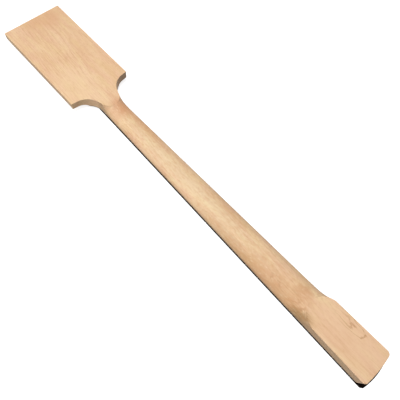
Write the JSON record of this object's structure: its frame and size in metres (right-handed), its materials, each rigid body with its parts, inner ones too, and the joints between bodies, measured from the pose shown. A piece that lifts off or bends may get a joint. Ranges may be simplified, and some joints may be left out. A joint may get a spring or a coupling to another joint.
{
  "type": "bass guitar neck",
  "caption": "Bolt-on bass guitar neck seen from its carved maple back: unshaped rectangular headstock, rounded coves, flat heel pad, dark fretted fingerboard and truss rod",
  "frame": {"origin": "Under the middle of the neck, at the crown of the frets that it lies on", "axes": "+X from the headstock to the heel, +Y towards the bass side, +Z out of the carved back"},
  "size_m": [0.8456, 0.1204, 0.0265],
  "materials": {
    "maple": "raw maple, fine sanded",
    "ebony": "oiled dark fingerboard wood",
    "fret_wire": "polished nickel silver",
    "dot": "pearl plastic inlay",
    "rod_steel": "drawn steel",
    "black_steel": "black oxide steel",
    "block_brass": "machined brass"
  },
  "bodies": {
    "neck": {"maple_neck": "maple", "fingerboard": "ebony", "fret_1": "fret_wire", "fret_2": "fret_wire", "fret_3": "fret_wire", "fret_4": "fret_wire", "fret_5": "fret_wire", "fret_6": "fret_wire", "fret_7": "fret_wire", "fret_8": "fret_wire", "fret_9": "fret_wire", "fret_10": "fret_wire", "fret_11": "fret_wire", "fret_12": "fret_wire", "fret_13": "fret_wire", "fret_14": "fret_wire", "fret_15": "fret_wire", "fret_16": "fret_wire", "fret_17": "fret_wire", "fret_18": "fret_wire", "fret_19": "fret_wire", "fret_20": "fret_wire", "fret_21": "fret_wire", "face_dot_3": "dot", "face_dot_5": "dot", "face_dot_7": "dot", "face_dot_9": "dot", "face_dot_15": "dot", "face_dot_17": "dot", "face_dot_19": "dot", "face_dot_21": "dot", "face_dot_12_bass": "dot", "face_dot_12_treble": "dot", "side_dot_3": "dot", "side_dot_5": "dot", "side_dot_7": "dot", "side_dot_9": "dot", "side_dot_15": "dot", "side_dot_17": "dot", "side_dot_19": "dot", "side_dot_21": "dot", "side_dot_12_low": "dot", "side_dot_12_high": "dot", "truss_rod_bar": "rod_steel", "truss_rod_front_block": "block_brass", "truss_rod_rear_block": "block_brass"},
    "adjusting_rod": {"truss_rod": "rod_steel", "truss_rod_adjuster": "black_steel"}
  },
  "joints": [
    {"name": "truss_rod_turn", "type": "hinge", "parent": "neck", "child": "adjusting_rod", "pos_m": [-0.19583, 0, 0.01165], "axis": [1, 0, 0], "range_deg": [-360, 360]}
  ]
}
